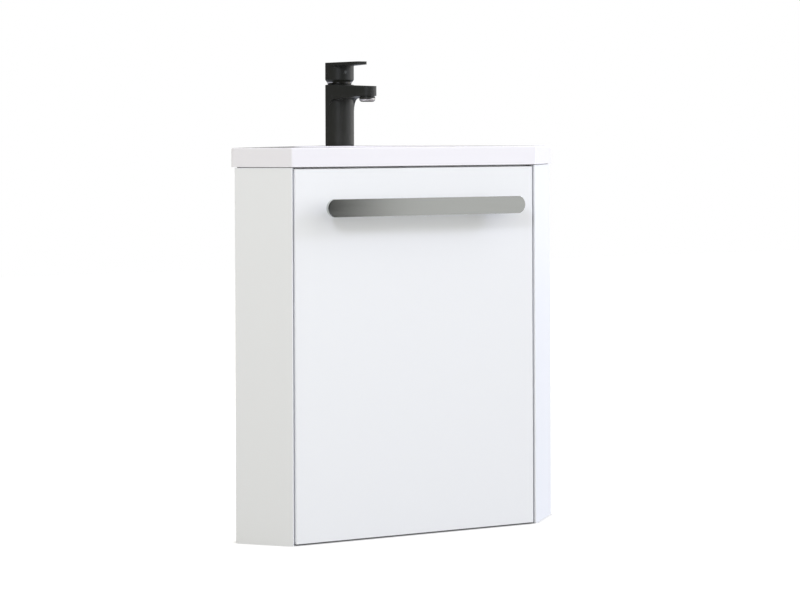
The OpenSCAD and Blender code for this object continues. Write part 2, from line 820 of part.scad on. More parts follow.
// The aerator's insert, seen from below: a groove, a short barrel and a rounded lip
aerator_seat_z = tap_top_z - spout_fall - spout_t - spout_slope * (spout_r + 1 + aerator_r) - 0.05;
aerator_low_z = tap_top_z - spout_fall - spout_t - aerator_out;
aerator_round = 4.4;
aerator_lip = 1.4;
aerator_groove = 0.8;
aerator_step = 1;
aerator_neck_h = 7;
aerator_hole_r = 4;
aerator_steps = 6;

module tap_body() {
    color("#3a3d3c") on_tap()
        difference() {
            union() {
                translate([0, 0, tap_foot_z]) cylinder(r = tap_r, h = tap_top_z - tap_foot_z);
                translate([0, 0, tap_top_z]) cylinder(r1 = tap_r, r2 = lip_r, h = lip_h);
                spout();
            }
            translate([0, 0, cartridge_z]) cylinder(r = cartridge_r + seat, h = tap_top_z - cartridge_z);
            translate([0, 0, nut_top_z]) cylinder(r = bore_top_r, h = tap_top_z + lip_h + eps - nut_top_z);
            translate([0, 0, waterway_z]) rotate([90, 0, 0]) cylinder(r = waterway_r, h = spout_reach);
            translate([0, -spout_reach, aerator_seat_z - eps])
                cylinder(r = aerator_r - aerator_step + seat, h = aerator_neck_h + 1 + eps);
            translate([0, -spout_reach, aerator_seat_z])
                cylinder(r = waterway_r + 1, h = waterway_z + waterway_r - aerator_seat_z);
            for (side = [-1, 1])
                translate([side * tail_hole_x, tail_hole_y, tap_foot_z - eps])
                    cylinder(r = tail_hole_r, h = tail_hole_h);
            translate([0, stud_y, tap_foot_z - eps]) cylinder(r = stud_r, h = stud_in + 2 * eps);
        }
}

module tap_gasket() {
    color("black") on_tap() tube(tap_r - gasket_in, tap_hole_r - 1, top_z, tap_foot_z);
}

module aerator() {
    color("#3a3d3c") on_tap() translate([0, -spout_reach, 0])
        difference() {
            union() {
                translate([0, 0, aerator_low_z]) rotate_extrude()
                    polygon(concat(
                        [[0, 0]],
                        [for (i = [0:aerator_steps])
                            let (t = 90 * i / aerator_steps)
                            [aerator_r - aerator_round * (1 - sin(t)), aerator_round * (1 - cos(t))]],
                        [[aerator_r, aerator_seat_z - aerator_groove - aerator_low_z],
                         [0, aerator_seat_z - aerator_groove - aerator_low_z]]));
                translate([0, 0, aerator_seat_z - aerator_groove - eps])
                    cylinder(r = aerator_r - aerator_step, h = aerator_neck_h + aerator_groove + eps);
            }
            translate([0, 0, aerator_low_z - eps])
                cylinder(r = aerator_r - aerator_round - aerator_lip, h = aerator_round - eps);
            translate([0, 0, aerator_low_z])
                cylinder(r = aerator_hole_r, h = aerator_seat_z + aerator_neck_h + eps - aerator_low_z);
        }
}

module cartridge_body() {
    color("ivory") on_tap()
        difference() {
            union() {
                translate([0, 0, cartridge_z]) cylinder(r = cartridge_r, h = nut_top_z - nut_h - cartridge_z);
                translate([0, 0, nut_top_z - nut_h]) cylinder(r = cartridge_neck_r, h = nut_h + 1);
            }
            translate([0, 0, nut_top_z - spindle_in - eps])
                cylinder(r = spindle_r + running, h = 2 * spindle_in);
        }
}

module cartridge_nut() {
    color("goldenrod") on_tap() tube(cartridge_r, cartridge_neck_r + seat, nut_top_z - nut_h, nut_top_z);
}

pivot_z = tap_top_z + lever_pivot_rise;
pin_r = 1.5;
pin_l = 15.2;
ear_t = 2.5;
ear_w = 7;
ear_gap = 9;
ear_top_z = pivot_z + 3;
spindle_r = 8;
spindle_in = 21.5;         // how deep the spindle sits in the cartridge
spindle_l = 26;

// Turns in the cartridge and carries the lever's pin between two ears
module cartridge_spindle() {
    color("silver") on_tap()
        difference() {
            union() {
                translate([0, 0, nut_top_z - spindle_in]) cylinder(r = spindle_r, h = spindle_l);
                intersection() {
                    translate([0, 0, nut_top_z]) cylinder(r = spindle_r, h = ear_top_z - nut_top_z);
                    for (side = [-1, 1])
                        translate([side * (ear_gap + ear_t) / 2 - ear_t / 2, -ear_w / 2, nut_top_z])
                            cube([ear_t, ear_w, ear_top_z - nut_top_z]);
                }
            }
            translate([0, 0, pivot_z]) rotate([0, 90, 0])
                cylinder(r = pin_r + seat, h = 2 * spindle_r + 2 * eps, center = true);
        }
}

module lever_pin() {
    color("silver") on_tap() translate([0, 0, pivot_z]) rotate([0, 90, 0])
        cylinder(r = pin_r, h = pin_l, center = true);
}

cap_z = tap_top_z + cap_rise;
lever_top_z = tap_top_z + lever_rise;
blade_z = lever_top_z - blade_t;
skirt_low = nut_top_z + 5.4;
cone_r = tap_r - 2.5;
cone_z = cap_z - 3.4;
skirt_wall = 1.6;
skirt_r = norm([cone_r, pivot_z - cone_z]);
blade_corner_r = 4;
stem_w = 8;
hub_w = 13;
hub_z = pivot_z + 5.6;

// The blade's plan, from the cap's circle to a tip with small round corners
module blade_plan() {
    tip_half = blade_tip_w / 2;
    circle(r = tap_r);
    polygon(rounded([[-tip_half, -blade_reach], [tip_half, -blade_reach], [tap_r, -2], [-tap_r, -2]],
                    blade_corner_r));
}

// The square stem that tilts on the pin and carries the lever's socket
module lever_stem() {
    color("silver") on_tap()
        difference() {
            translate([-stem_w / 2, -stem_w / 2, pivot_z - stem_w / 2])
                cube([stem_w, stem_w, blade_z - eps - pivot_z + stem_w / 2]);
            translate([0, 0, pivot_z]) rotate([0, 90, 0])
                cylinder(r = pin_r + running, h = stem_w + 2 * eps, center = true);
        }
}

// The lever: cap, blade, the round skirt that rolls in the body's mouth, and the socket on the stem
module lever() {
    color("#3a3d3c") on_tap()
        difference() {
            union() {
                difference() {
                    union() {
                        translate([0, 0, cap_z]) cylinder(r = tap_r, h = blade_z + 1 - cap_z);
                        translate([0, 0, cone_z]) cylinder(r1 = cone_r, r2 = tap_r, h = cap_z - cone_z);
                        intersection() {
                            translate([0, 0, pivot_z]) sphere(r = skirt_r);
                            translate([0, 0, skirt_low]) cylinder(r = tap_r, h = cone_z - skirt_low + touch);
                        }
                    }
                    translate([0, 0, pivot_z]) intersection() {
                        sphere(r = skirt_r - skirt_wall);
                        translate([0, 0, -skirt_r]) cylinder(r = tap_r, h = skirt_r);
                    }
                    translate([0, 0, pivot_z - touch]) cylinder(r = tap_r - cap_wall, h = blade_z - pivot_z);
                }
                translate([0, 0, blade_z]) linear_extrude(blade_t) blade_plan();
                translate([-hub_w / 2, -hub_w / 2, hub_z]) cube([hub_w, hub_w, blade_z - hub_z + eps]);
            }
            translate([-stem_w / 2 - seat, -stem_w / 2 - seat, hub_z - eps])
                cube([stem_w + 2 * seat, stem_w + 2 * seat, blade_z - hub_z + eps]);
            translate([0, 0, index_z]) rotate([90, 0, 0])
                translate([0, 0, stem_w / 2]) cylinder(r = index_r + seat, h = tap_r);
        }
}

index_z = cap_z + 12.6;
index_r = 2.6;
index_l = 4.2;
index_out = 0.2;
module index_plug() {
    color("gray") on_tap() translate([0, 0, index_z]) rotate([90, 0, 0])
        translate([0, 0, tap_r + index_out - index_l]) cylinder(r = index_r, h = index_l);
}

grub_l = 8;
grub_socket_r = 1.3;
grub_socket_l = 3;

module grub_screw() {
    color("dimgray") on_tap() translate([0, 0, index_z]) rotate([90, 0, 0])
        difference() {
            translate([0, 0, stem_w / 2]) cylinder(r = index_r, h = grub_l);
            translate([0, 0, stem_w / 2 + grub_l - grub_socket_l])
                cylinder(r = grub_socket_r, h = grub_socket_l + eps, $fn = 6);
        }
}

// Under the deck: a stud from the foot, and an open washer and plate that leave the tails free
stud_out = 34;
stud_gap = 0.3;
horseshoe_r = 22;
horseshoe_slot = 27;
horseshoe_slot_y = -2;
washer_t = 3;
plate_under_t = 2.5;
stud_nut_r = 6.4;
stud_nut_h = 12;
module fixing_stud() {
    color("goldenrod") on_tap() translate([0, stud_y, under_deck_z - stud_out])
        cylinder(r = stud_r - seat, h = tap_foot_z + stud_in - under_deck_z + stud_out);
}

module horseshoe(z0, t) {
    translate([0, 0, z0]) linear_extrude(t)
        difference() {
            circle(r = horseshoe_r);
            translate([-horseshoe_slot / 2, horseshoe_slot_y]) square([horseshoe_slot, 2 * horseshoe_r]);
            translate([0, stud_y]) circle(r = stud_r + stud_gap);
        }
}

module fixing_washer() {
    color("black") on_tap() horseshoe(under_deck_z - washer_t, washer_t);
}

module fixing_plate() {
    color("silver") on_tap() horseshoe(under_deck_z - washer_t - plate_under_t, plate_under_t);
}

module stud_nut() {
    color("goldenrod") on_tap()
        translate([0, stud_y, under_deck_z - washer_t - plate_under_t - stud_nut_h])
            difference() {
                cylinder(r = stud_nut_r, h = stud_nut_h, $fn = 6);
                translate([0, 0, -eps]) cylinder(r = stud_r, h = stud_nut_h + 2 * eps);
            }
}

/* ---- Door ---- */

pivot = [door_half - pivot_in, front_y + pivot_deep];
cup_x = door_half - cup_edge - cup_r;
door_back_y = front_y + door_t;
door_back_edge_r = 1;
edge_steps = 5;
back_edge_steps = 3;

module door_panel() {
    front = concat(corner_arc([-door_half, door_back_y], [-door_half, front_y],
                              [door_half, front_y], door_edge_r, edge_steps),
                   corner_arc([-door_half, front_y], [door_half, front_y],
                              [door_half, door_back_y], door_edge_r, edge_steps),
                   corner_arc([door_half, front_y], [door_half, door_back_y],
                              [-door_half, door_back_y], door_back_edge_r, back_edge_steps),
                   corner_arc([door_half, door_back_y], [-door_half, door_back_y],
                              [-door_half, front_y], door_back_edge_r, back_edge_steps));
    color("white")
        difference() {
            board(front, door_foot, door_top);
            for (z = hinge_heights)
                translate([cup_x, 0, z]) bar_y(cup_r, door_back_y - cup_deep, door_back_y + eps);
            for (side = [-1, 1])
                translate([side * pull_centres / 2, 0, pull_z])
                    bar_y(pull_screw_r + screw_gap, front_y - eps, door_back_y + eps);
            at_cup_screws() bar_y(cup_screw_r + seat, door_back_y - cup_screw_l - eps, door_back_y + eps);
        }
}

// The bar's front view: straight top and bottom, round ends that meet them at a slight corner
pull_steps = 12;
function pull_outline(grow) =
    let (h = pull_h / 2 + grow, r = pull_end_r + grow, half = asin(h / r), x = pull_l / 2 + grow - r)
    [for (end = [0, 1], i = [0:pull_steps])
        let (t = 180 * end - half + 2 * half * i / pull_steps)
        [(1 - 2 * end) * x + r * cos(t), r * sin(t)]];

pull_edge = 0.8;
pull_front_y = front_y - pull_out;
pull_thread = 4;           // depth of the threaded hole in the bar
post_foot_w = 2;
post_foot_t = 3;
screw_gap = 0.2;           // round a screw in the board it passes through
pull_screw_head_r = 4;
pull_screw_head_h = 2.1;
module pull_bar() {
    color("#9a9c9a")
        difference() {
            translate([0, 0, pull_z]) rotate([90, 0, 0]) {
                translate([0, 0, -pull_front_y - pull_t + pull_edge])
                    linear_extrude(pull_t - 2 * pull_edge) polygon(pull_outline(0));
                translate([0, 0, -pull_front_y - pull_t])
                    linear_extrude(pull_t) polygon(pull_outline(-pull_edge));
            }
            for (side = [-1, 1])
                translate([side * pull_centres / 2, 0, pull_z])
                    bar_y(pull_screw_r, pull_front_y + pull_t - pull_thread, pull_front_y + pull_t + eps);
        }
}

module pull_posts() {
    color("#9a9c9a")
        for (side = [-1, 1])
            translate([side * pull_centres / 2, 0, pull_z])
                difference() {
                    union() {
                        bar_y(post_r, pull_front_y + pull_t, front_y);
                        bar_y(post_r + post_foot_w, front_y - post_foot_t, front_y);
                    }
                    bar_y(pull_screw_r, pull_front_y + pull_t - eps, front_y + eps);
                }
}

module pull_screws() {
    color("silver")
        for (side = [-1, 1])
            translate([side * pull_centres / 2, 0, pull_z]) {
                bar_y(pull_screw_r - seat, pull_front_y + pull_t - pull_thread + eps, door_back_y);
                bar_y(pull_screw_head_r, door_back_y, door_back_y + pull_screw_head_h);
            }
}

bumper_in = 14;
module door_bumpers() {
    color("lightgray")
        for (z = [board_t / 2, cabinet_h - front_rail_h / 2])
            translate([-door_half + bumper_in, 0, z]) bar_y(bumper_r, door_back_y, door_back_y + bumper_t);
}

/* ---- Hinges: one pin each, a cup in the door and a swan-necked arm on the return panel ---- */

cup_screw_r = 1.75;
cup_screw_in = 5.5;
cup_screw_l = 10.5;
screw_loose = 0.1;         // round a screw in a metal part
wood_screw_head_r = 3;
cup_screw_head_h = 1.1;
cup_flange_w = 16;
cup_flange_side = 6;       // from the row of screws to the flange's edge
pin_head = 2;              // how far the hinge pin sits in the cup above and below the arm
module at_cup_screws() {
    for (z = hinge_heights, side = [-1, 1])
        translate([cup_x - cup_screw_in, 0, z + side * cup_screw_step / 2]) children();
}

module hinge_cup(z) {
    color("silver")
        difference() {
            union() {
                translate([cup_x, 0, z])
                    bar_y(cup_r - seat, door_back_y - cup_deep + seat, door_back_y + flange_t);
                translate([cup_x - cup_screw_in - cup_flange_side, door_back_y,
                           z - cup_screw_step / 2 - cup_flange_side])
                    cube([cup_flange_w, flange_t, cup_screw_step + 2 * cup_flange_side]);
            }
            translate([pivot[0], pivot[1], z - arm_w / 2 - loose])
                cylinder(r = neck_r + arm_t + loose, h = arm_w + 2 * loose);
            translate([pivot[0], pivot[1], z - arm_w]) cylinder(r = hinge_pin_r + seat, h = 2 * arm_w);
            for (side = [-1, 1])
                translate([cup_x - cup_screw_in, 0, z + side * cup_screw_step / 2])
                    bar_y(cup_screw_r + screw_loose, door_back_y - eps, door_back_y + flange_t + eps);
        }
}

module hinge_pins() {
    color("silver")
        for (z = hinge_heights)
            translate([pivot[0], pivot[1], z - arm_w / 2 - loose - pin_head])
                cylinder(r = hinge_pin_r, h = arm_w + 2 * (loose + pin_head));
}

module cup_screws() {
    color("silver")
        at_cup_screws() {
            bar_y(cup_screw_r, door_back_y - cup_screw_l, door_back_y + flange_t);
            bar_y(wood_screw_head_r, door_back_y + flange_t, door_back_y + flange_t + cup_screw_head_h);
        }
}

// The arm's lean: its flat part lies parallel to the return panel's inner face
arm_mid_r = neck_r + arm_t / 2;
arm_lift = (pivot - face_start) * [-1, 1] / root2 + arm_mid_r;
arm_back = (pivot - face_start) * [1, 1] / root2;
arm_end = plate_set + plate_l / 2 - 2;
saddle_t = arm_lift - arm_t / 2;

// The arm in plan, in the frame of the return panel's face: a flat strip, a neck that is an arc
// round the pin, and a spoke from the neck to the knuckle
neck_start = 90;
neck_end = 135;
neck_steps = 8;
function from_pin(distance, aside) =
    [arm_back, arm_lift - arm_mid_r]
    + distance * [cos(neck_end), sin(neck_end)] + aside * [-sin(neck_end), cos(neck_end)];
function neck_arc(r, first, last) =
    [for (i = [0:neck_steps])
        let (t = first + (last - first) * i / neck_steps)
        [arm_back, arm_lift - arm_mid_r] + r * [cos(t), sin(t)]];
module arm_plan() {
    half = arm_t / 2;
    outer_r = neck_r + arm_t;
    polygon(concat(
        [[arm_end, saddle_t], [arm_end, saddle_t + arm_t]],
        neck_arc(outer_r, neck_start, neck_end + asin(half / outer_r)),
        [from_pin(knuckle_r - half, half), from_pin(knuckle_r - half, -half)],
        neck_arc(neck_r, neck_end - asin(half / neck_r), neck_start)));
    translate([arm_back, arm_lift - arm_mid_r]) circle(r = knuckle_r);
}

module hinge_arm(z) {
    color("silver") on_return_face()
        difference() {
            translate([0, 0, z - arm_w / 2]) linear_extrude(arm_w) arm_plan();
            translate([arm_back, arm_lift - arm_mid_r, z - arm_w])
                cylinder(r = hinge_pin_r + running, h = 2 * arm_w);
            translate([plate_set, 0, z])
                bar_y(arm_screw_r + screw_loose, saddle_t - eps, saddle_t + arm_t + eps);
        }
}

// The plate: two wings on the return panel and a raised, partly hollow saddle under the arm
wing_w = 16;
saddle_wall = 1.8;
saddle_roof = 1.6;
saddle_solid = 6;          // from the screws' row to the hollow
arm_thread = 6;
arm_screw_r = 2.5;
arm_screw_head_r = 4.5;
arm_screw_head_h = 2;
plate_screw_r = 1.75;
plate_screw_l = 11.5;
plate_screw_head_h = 1.4;
module hinge_plate(z) {
    color("silver") on_return_face()
        difference() {
            union() {
                translate([plate_set - wing_w / 2, 0, z - plate_h / 2]) cube([wing_w, plate_t, plate_h]);
                translate([plate_set - plate_l / 2, 0, z - arm_w / 2]) cube([plate_l, saddle_t, arm_w]);
            }
            translate([plate_set - plate_l / 2 - eps, plate_t, z - arm_w / 2 + saddle_wall])
                cube([plate_l / 2 - saddle_solid + eps, saddle_t - plate_t - saddle_roof,
                      arm_w - 2 * saddle_wall]);
            translate([plate_set, 0, z]) bar_y(arm_screw_r, saddle_t - arm_thread, saddle_t + eps);
            for (side = [-1, 1])
                translate([plate_set, 0, z + side * plate_screw_step / 2])
                    bar_y(plate_screw_r + screw_loose, -eps, plate_t + eps);
        }
}

module arm_screws() {
    color("silver") on_return_face()
        for (z = hinge_heights)
            translate([plate_set, 0, z]) {
                bar_y(arm_screw_r - seat, saddle_t - arm_thread + eps, saddle_t + arm_t);
                bar_y(arm_screw_head_r, saddle_t + arm_t, saddle_t + arm_t + arm_screw_head_h);
            }
}

module plate_screw_holes() {
    on_return_face()
        for (z = hinge_heights, side = [-1, 1])
            translate([plate_set, 0, z + side * plate_screw_step / 2])
                bar_y(plate_screw_r + seat, -plate_screw_l - eps, eps);
}

module plate_screws() {
    color("silver") on_return_face()
        for (z = hinge_heights, side = [-1, 1])
            translate([plate_set, 0, z + side * plate_screw_step / 2]) {
                bar_y(plate_screw_r, -plate_screw_l, plate_t);
                bar_y(wood_screw_head_r, plate_t, plate_t + plate_screw_head_h);
            }
}

color("white") return_panel(-1);  // left_return_panel
color("white") return_panel(1);  // right_return_panel
color("white") wall_panel(-1);  // left_wall_panel
color("white") wall_panel(1);  // right_wall_panel
bottom_panel();
front_top_rail();
color("burlywood") hanging_rail(-1);  // left_hanging_rail
color("burlywood") hanging_rail(1);  // right_hanging_rail
corner_block();
shelf();
shelf_pins();
basin();
basin_seal();
overflow_ring();
waste_flange();
waste_seals();
waste_locknut();
waste_plug();
tail_pipe();
tail_nut();
trap_body();
trap_inlet_nut();
trap_cup();
trap_outlet_nut();
outlet_pipe();
tap_body();
tap_gasket();
aerator();
cartridge_body();
cartridge_nut();
cartridge_spindle();
lever_pin();
lever_stem();
lever();
index_plug();
grub_screw();
fixing_stud();
fixing_washer();
fixing_plate();
stud_nut();
door_panel();
pull_bar();
pull_posts();
pull_screws();
door_bumpers();
hinge_cup(hinge_heights[1]);  // upper_hinge_cup
hinge_cup(hinge_heights[0]);  // lower_hinge_cup
hinge_pins();
cup_screws();
hinge_arm(hinge_heights[1]);  // upper_hinge_arm
hinge_arm(hinge_heights[0]);  // lower_hinge_arm
hinge_plate(hinge_heights[1]);  // upper_hinge_plate
hinge_plate(hinge_heights[0]);  // lower_hinge_plate
arm_screws();
plate_screws();
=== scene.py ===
"""Looks of the corner vanity unit: materials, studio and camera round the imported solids.

Metres, in the unit's own frame: the door faces -Y, +Z is up and the room's corner is at +Y.
"""

import json
import math

import bpy
from mathutils import Euler, Matrix, Vector

# Camera, as the photograph's straight lines give it
CAMERA_PLACE = (-1.5627, -3.2456, 0.6341)
CAMERA_YAW = math.radians(26.40)
CAMERA_ROLL = math.radians(-0.218)
CAMERA_LENS = 99.885
CAMERA_SENSOR = 36.0
CAMERA_SHIFT_Y = -0.2147
CAMERA_REACH = 200.0

# The studio: a bright wall, and the walls beyond each of its edges, from the inmost outwards. An
# edge is the bearing, in degrees from +X, of the half of the horizon that stays as it is, and the
# colour of the other half. The matt surfaces are lit by other walls than the glossy ones reflect.
MATT_BRIGHT = (2.160, 2.225, 2.330)
MATT_DIM = (1.032, 1.006, 0.848)
MATT_EDGES = ((25.5, MATT_DIM), (-50.0, MATT_DIM))
# How wide each edge's blend is, as the sine of the angle to either side of it
MATT_SOFTS = (0.30, 0.30)
# The matt surfaces' light from above: the heights of the direction, on a sphere of radius 1, at
# which its fall begins and ends, and the share that is left there
OVERHEAD_START = 0.50
OVERHEAD_END = 0.95
OVERHEAD_LEFT = 0.40
GLOSS_BRIGHT = (1.950, 1.920, 1.900)
GLOSS_GREY = (0.785, 0.785, 0.780)
GLOSS_DARK = (0.059, 0.058, 0.056)
GLOSS_EDGES = ((68.0, GLOSS_GREY), (-75.0, GLOSS_GREY), (25.5, GLOSS_DARK), (-26.0, GLOSS_DARK))
GLOSS_SOFTS = (0.021, 0.10, 0.021, 0.10)

# Lamps: direction from their aim, distance, side length, power and colour
KEY_WAY = (58.7, -38.0, 32.5)
KEY_FAR = 3.0
KEY_SIDE = 0.35
KEY_POWER = 12.2
KEY_TINT = (0.72, 0.74, 1.0)
SECOND_WAY = (-32.5, -38.0, 25.0)
SECOND_FAR = 3.0
SECOND_SIDE = 0.45
SECOND_POWER = 19.4
SECOND_TINT = (0.83, 0.86, 1.0)
LAMP_AIM = (0.0, -0.15, 0.40)

# The floor: its side length, its own colour and how brightly the camera sees it glow
FLOOR_SIDE = 12.0
FLOOR_COLOUR = (0.30, 0.30, 0.30)
FLOOR_GLOW = 0.86
# How bright the floor is in the reflections of glossy surfaces
FLOOR_GLOSS = 0.28
FLOOR_GLOSS_TINT = (0.60, 0.66, 1.0)
# How far from a piece the floor's camera glow is darkened, as a painted contact shadow
CONTACT_REACH = 0.012

# Heights between which the lever's skirt and the aerator are bare metal, and that metal's looks
LEVER_RING = (0.0, 0.7119)
AERATOR_RING = (0.6793, 0.6828)
BARE_METAL = (0.62, 0.60, 0.58)
BARE_ROUGHNESS = 0.12

# The noise values that a ramp turns into its low and its high end
NOISE_LOW = 0.25
NOISE_HIGH = 0.75

# Points closer than this are joined before the edges are softened
WELD_REACH = 0.000002
BEVEL_SEGMENTS = 2
BEVEL_ANGLE = math.radians(28)
SHARP_ANGLE = math.radians(40)


def linear(*levels):
    """A colour written in the screen's 0-255 levels, as the shader's linear values."""
    def one(v):
        v = v / 255
        return v / 12.92 if v <= 0.04045 else ((v + 0.055) / 1.055) ** 2.4
    return tuple(one(v) for v in levels)


class Shader:
    """A small builder for a node-based material round one Principled BSDF."""

    def __init__(self, name):
        self.material = bpy.data.materials.new(name)
        self.material.use_nodes = True
        self.nodes = self.material.node_tree.nodes
        self.links = self.material.node_tree.links
        self.bsdf = self.nodes["Principled BSDF"]
        self.place = self.nodes.new("ShaderNodeTexCoord").outputs["Object"]

    def set(self, **values):
        """Constant inputs of the Principled BSDF, by their names."""
        for key, value in values.items():
            self.bsdf.inputs[key.replace("_", " ")].default_value = value
        return self

    def noise(self, scale, detail, stretch=None):
        node = self.nodes.new("ShaderNodeTexNoise")
        node.inputs["Scale"].default_value = scale
        node.inputs["Detail"].default_value = detail
        source = self.place
        if stretch:
            mapping = self.nodes.new("ShaderNodeMapping")
            mapping.inputs["Scale"].default_value = stretch
            self.links.new(source, mapping.inputs["Vector"])
            source = mapping.outputs["Vector"]
        self.links.new(source, node.inputs["Vector"])
        return node.outputs["Fac"]

    def ramp(self, source, low, high):
        """A noise's values stretched to run from low to high."""
        node = self.nodes.new("ShaderNodeMapRange")
        node.inputs["From Min"].default_value = NOISE_LOW
        node.inputs["From Max"].default_value = NOISE_HIGH
        node.inputs["To Min"].default_value = low
        node.inputs["To Max"].default_value = high
        self.links.new(source, node.inputs["Value"])
        return node.outputs["Result"]

    def colour(self, source, first, second):
        """A base colour that runs from the first to the second with the source."""
        node = self.nodes.new("ShaderNodeMix")
        node.data_type = "RGBA"
        node.inputs["A"].default_value = (*first, 1)
        node.inputs["B"].default_value = (*second, 1)
        self.links.new(source, node.inputs["Factor"])
        self.links.new(node.outputs["Result"], self.bsdf.inputs["Base Color"])
        return self

    def roughness(self, source, low, high):
        self.links.new(self.ramp(source, low, high), self.bsdf.inputs["Roughness"])
        return self

    def bare_between(self, low, high):
        """Bare polished metal between two heights of the solid."""
        bare = self.nodes.new("ShaderNodeBsdfPrincipled")
        bare.inputs["Base Color"].default_value = (*BARE_METAL, 1)
        bare.inputs["Metallic"].default_value = 1.0
        bare.inputs["Roughness"].default_value = BARE_ROUGHNESS
        parts = self.nodes.new("ShaderNodeSeparateXYZ")
        self.links.new(self.place, parts.inputs[0])
        inside = self.nodes.new("ShaderNodeMath")
        inside.operation = "MULTIPLY"
        for i, (operation, height) in enumerate((("GREATER_THAN", low), ("LESS_THAN", high))):
            test = self.nodes.new("ShaderNodeMath")
            test.operation = operation
            test.inputs[1].default_value = height
            self.links.new(parts.outputs["Z"], test.inputs[0])
            self.links.new(test.outputs[0], inside.inputs[i])
        join = self.nodes.new("ShaderNodeMixShader")
        self.links.new(inside.outputs[0], join.inputs[0])
        self.links.new(self.bsdf.outputs[0], join.inputs[1])
        self.links.new(bare.outputs[0], join.inputs[2])
        self.links.new(join.outputs[0], self.nodes["Material Output"].inputs["Surface"])

    def bump(self, source, height, strength):
        node = self.nodes.new("ShaderNodeBump")
        node.inputs["Distance"].default_value = height
        node.inputs["Strength"].default_value = strength
        self.links.new(source, node.inputs["Height"])
        self.links.new(node.outputs["Normal"], self.bsdf.inputs["Normal"])
        return self


def shade(colour, factor):
    """A darker tone of a colour."""
    return tuple(c * factor for c in colour)


def board_white():
    """Smooth white foil on board, with the slight orange peel of a pressed finish."""
    s = Shader("board_white")
    base = linear(244, 245, 249)
    s.colour(s.noise(scale=2.5, detail=2), shade(base, 0.995), base)
    s.set(IOR=1.5, Roughness=0.28)
    return s.bump(s.noise(scale=220, detail=1), height=0.000008, strength=0.2).material


def ceramic_white():
    """Glazed sanitary ceramic, slightly wavy as a fired glaze is."""
    s = Shader("ceramic_white")
    base = linear(246, 244, 251)
    s.colour(s.noise(scale=3, detail=2), shade(base, 0.992), base)
    s.roughness(s.noise(scale=9, detail=2), low=0.06, high=0.10)
    s.set(IOR=1.52)
    return s.bump(s.noise(scale=35, detail=2), height=0.00004, strength=0.3).material


def raw_wood():
    """Unpainted wood of the rails, its grain level."""
    s = Shader("raw_wood")
    grain = s.noise(scale=60, detail=6, stretch=(1, 1, 9))
    s.colour(s.ramp(grain, 0, 1), linear(176, 142, 98), linear(205, 174, 128))
    s.roughness(grain, low=0.55, high=0.75)
    return s.bump(grain, height=0.0002, strength=0.5).material


def metal(name, colour, low, high, grain_scale=60, grain_stretch=None):
    """Bare or plated metal between two roughnesses, its marks drawn out where it is brushed."""
    s = Shader(name)
    grain = s.noise(grain_scale, detail=4, stretch=grain_stretch)
    s.colour(s.ramp(grain, 0, 1), shade(colour, 0.96), colour)
    s.roughness(grain, low, high)
    s.set(Metallic=1.0)
    return s.bump(grain, height=0.00001, strength=0.3).material


def plastic(name, colour, low, high):
    """Moulded plastic or rubber between two roughnesses, with a fine texture."""
    s = Shader(name)
    s.colour(s.noise(scale=12, detail=2), shade(colour, 0.97), colour)
    s.roughness(s.noise(scale=40, detail=2), low, high)
    return s.bump(s.noise(scale=320, detail=2), height=0.00003, strength=0.3).material


def tap_anthracite(name, ring=None):
    """Matt dark coating over turned metal, which is bare between the two heights of a ring, if any."""
    s = Shader(name)
    base = linear(50, 51, 48)
    s.colour(s.noise(scale=20, detail=3), shade(base, 0.9), base)
    s.roughness(s.noise(scale=60, detail=3), low=0.34, high=0.40)
    s.set(Metallic=0.35)
    s.bump(s.noise(scale=700, detail=2), height=0.00001, strength=0.3)
    if ring:
        s.bare_between(*ring)
    return s.material


# Material of each of the record's slots, and of the finishes below
MATERIALS = {
    "cabinet_white": board_white(),
    "ceramic_white": ceramic_white(),
    "raw_wood": raw_wood(),
    "chromed_metal": metal("chromed_metal", linear(226, 227, 230), 0.04, 0.08, 30),
    "pull_metal": metal("pull_metal", linear(192, 194, 191), 0.06, 0.09, 90, (0.15, 1, 1)),
    "steel_parts": metal("steel_parts", linear(176, 178, 180), 0.28, 0.38),
    "brass_parts": metal("brass_parts", linear(196, 160, 92), 0.25, 0.35),
    "tap_anthracite": tap_anthracite("tap_anthracite"),
    "lever_anthracite": tap_anthracite("lever_anthracite", LEVER_RING),
    "aerator_anthracite": tap_anthracite("aerator_anthracite", AERATOR_RING),
    "index_grey": plastic("index_grey", linear(84, 86, 86), 0.3, 0.4),
    "rubber_black": plastic("rubber_black", linear(34, 34, 34), 0.6, 0.75),
    "bumper_clear": plastic("bumper_clear", linear(205, 207, 208), 0.35, 0.45),
    "plastic_black": plastic("plastic_black", linear(40, 40, 41), 0.4, 0.5),
    "plastic_white": plastic("plastic_white", linear(232, 232, 230), 0.32, 0.42),
}

# Nodes whose finish differs from their slot's
FINISHES = {"lever": "lever_anthracite", "aerator": "aerator_anthracite"}

# Bevel width of the visible edges by material, in metres
BEVELS = {
    "cabinet_white": 0.0005,
    "ceramic_white": 0.0008,
    "raw_wood": 0.0006,
    "pull_metal": 0.0003,
    "tap_anthracite": 0.0004,
    "plastic_white": 0.0003,
}
BEVEL_SMALL = 0.00015


